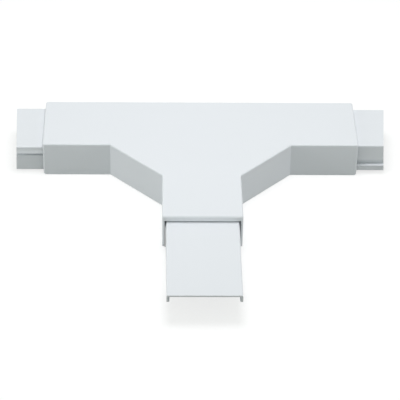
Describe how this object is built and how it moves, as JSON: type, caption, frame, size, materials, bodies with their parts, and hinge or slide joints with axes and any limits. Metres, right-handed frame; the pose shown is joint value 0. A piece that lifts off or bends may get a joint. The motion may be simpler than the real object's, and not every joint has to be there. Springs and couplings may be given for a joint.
{
  "type": "trunking tee",
  "caption": "Moulded tee cover for mini trunking, with sloped gussets and an open back, over short cut lengths of trunking base and clip-on lid in its arms.",
  "frame": {"origin": "middle of the bounding box, on the wall plane that the open back rests on", "axes": "+Z out of the wall through the front, +X along the straight run, +Y away from the branch"},
  "size_m": [0.2122, 0.171, 0.0205],
  "materials": {
    "cover_plastic": "fine satin moulded white",
    "lid_plastic": "smooth extruded white",
    "base_plastic": "smooth extruded white"
  },
  "bodies": {
    "root": {"tee_cover": "cover_plastic", "left_trunking_base": "base_plastic", "left_trunking_lid": "lid_plastic", "right_trunking_base": "base_plastic", "right_trunking_lid": "lid_plastic", "branch_trunking_base": "base_plastic", "branch_trunking_lid": "lid_plastic"}
  },
  "joints": []
}
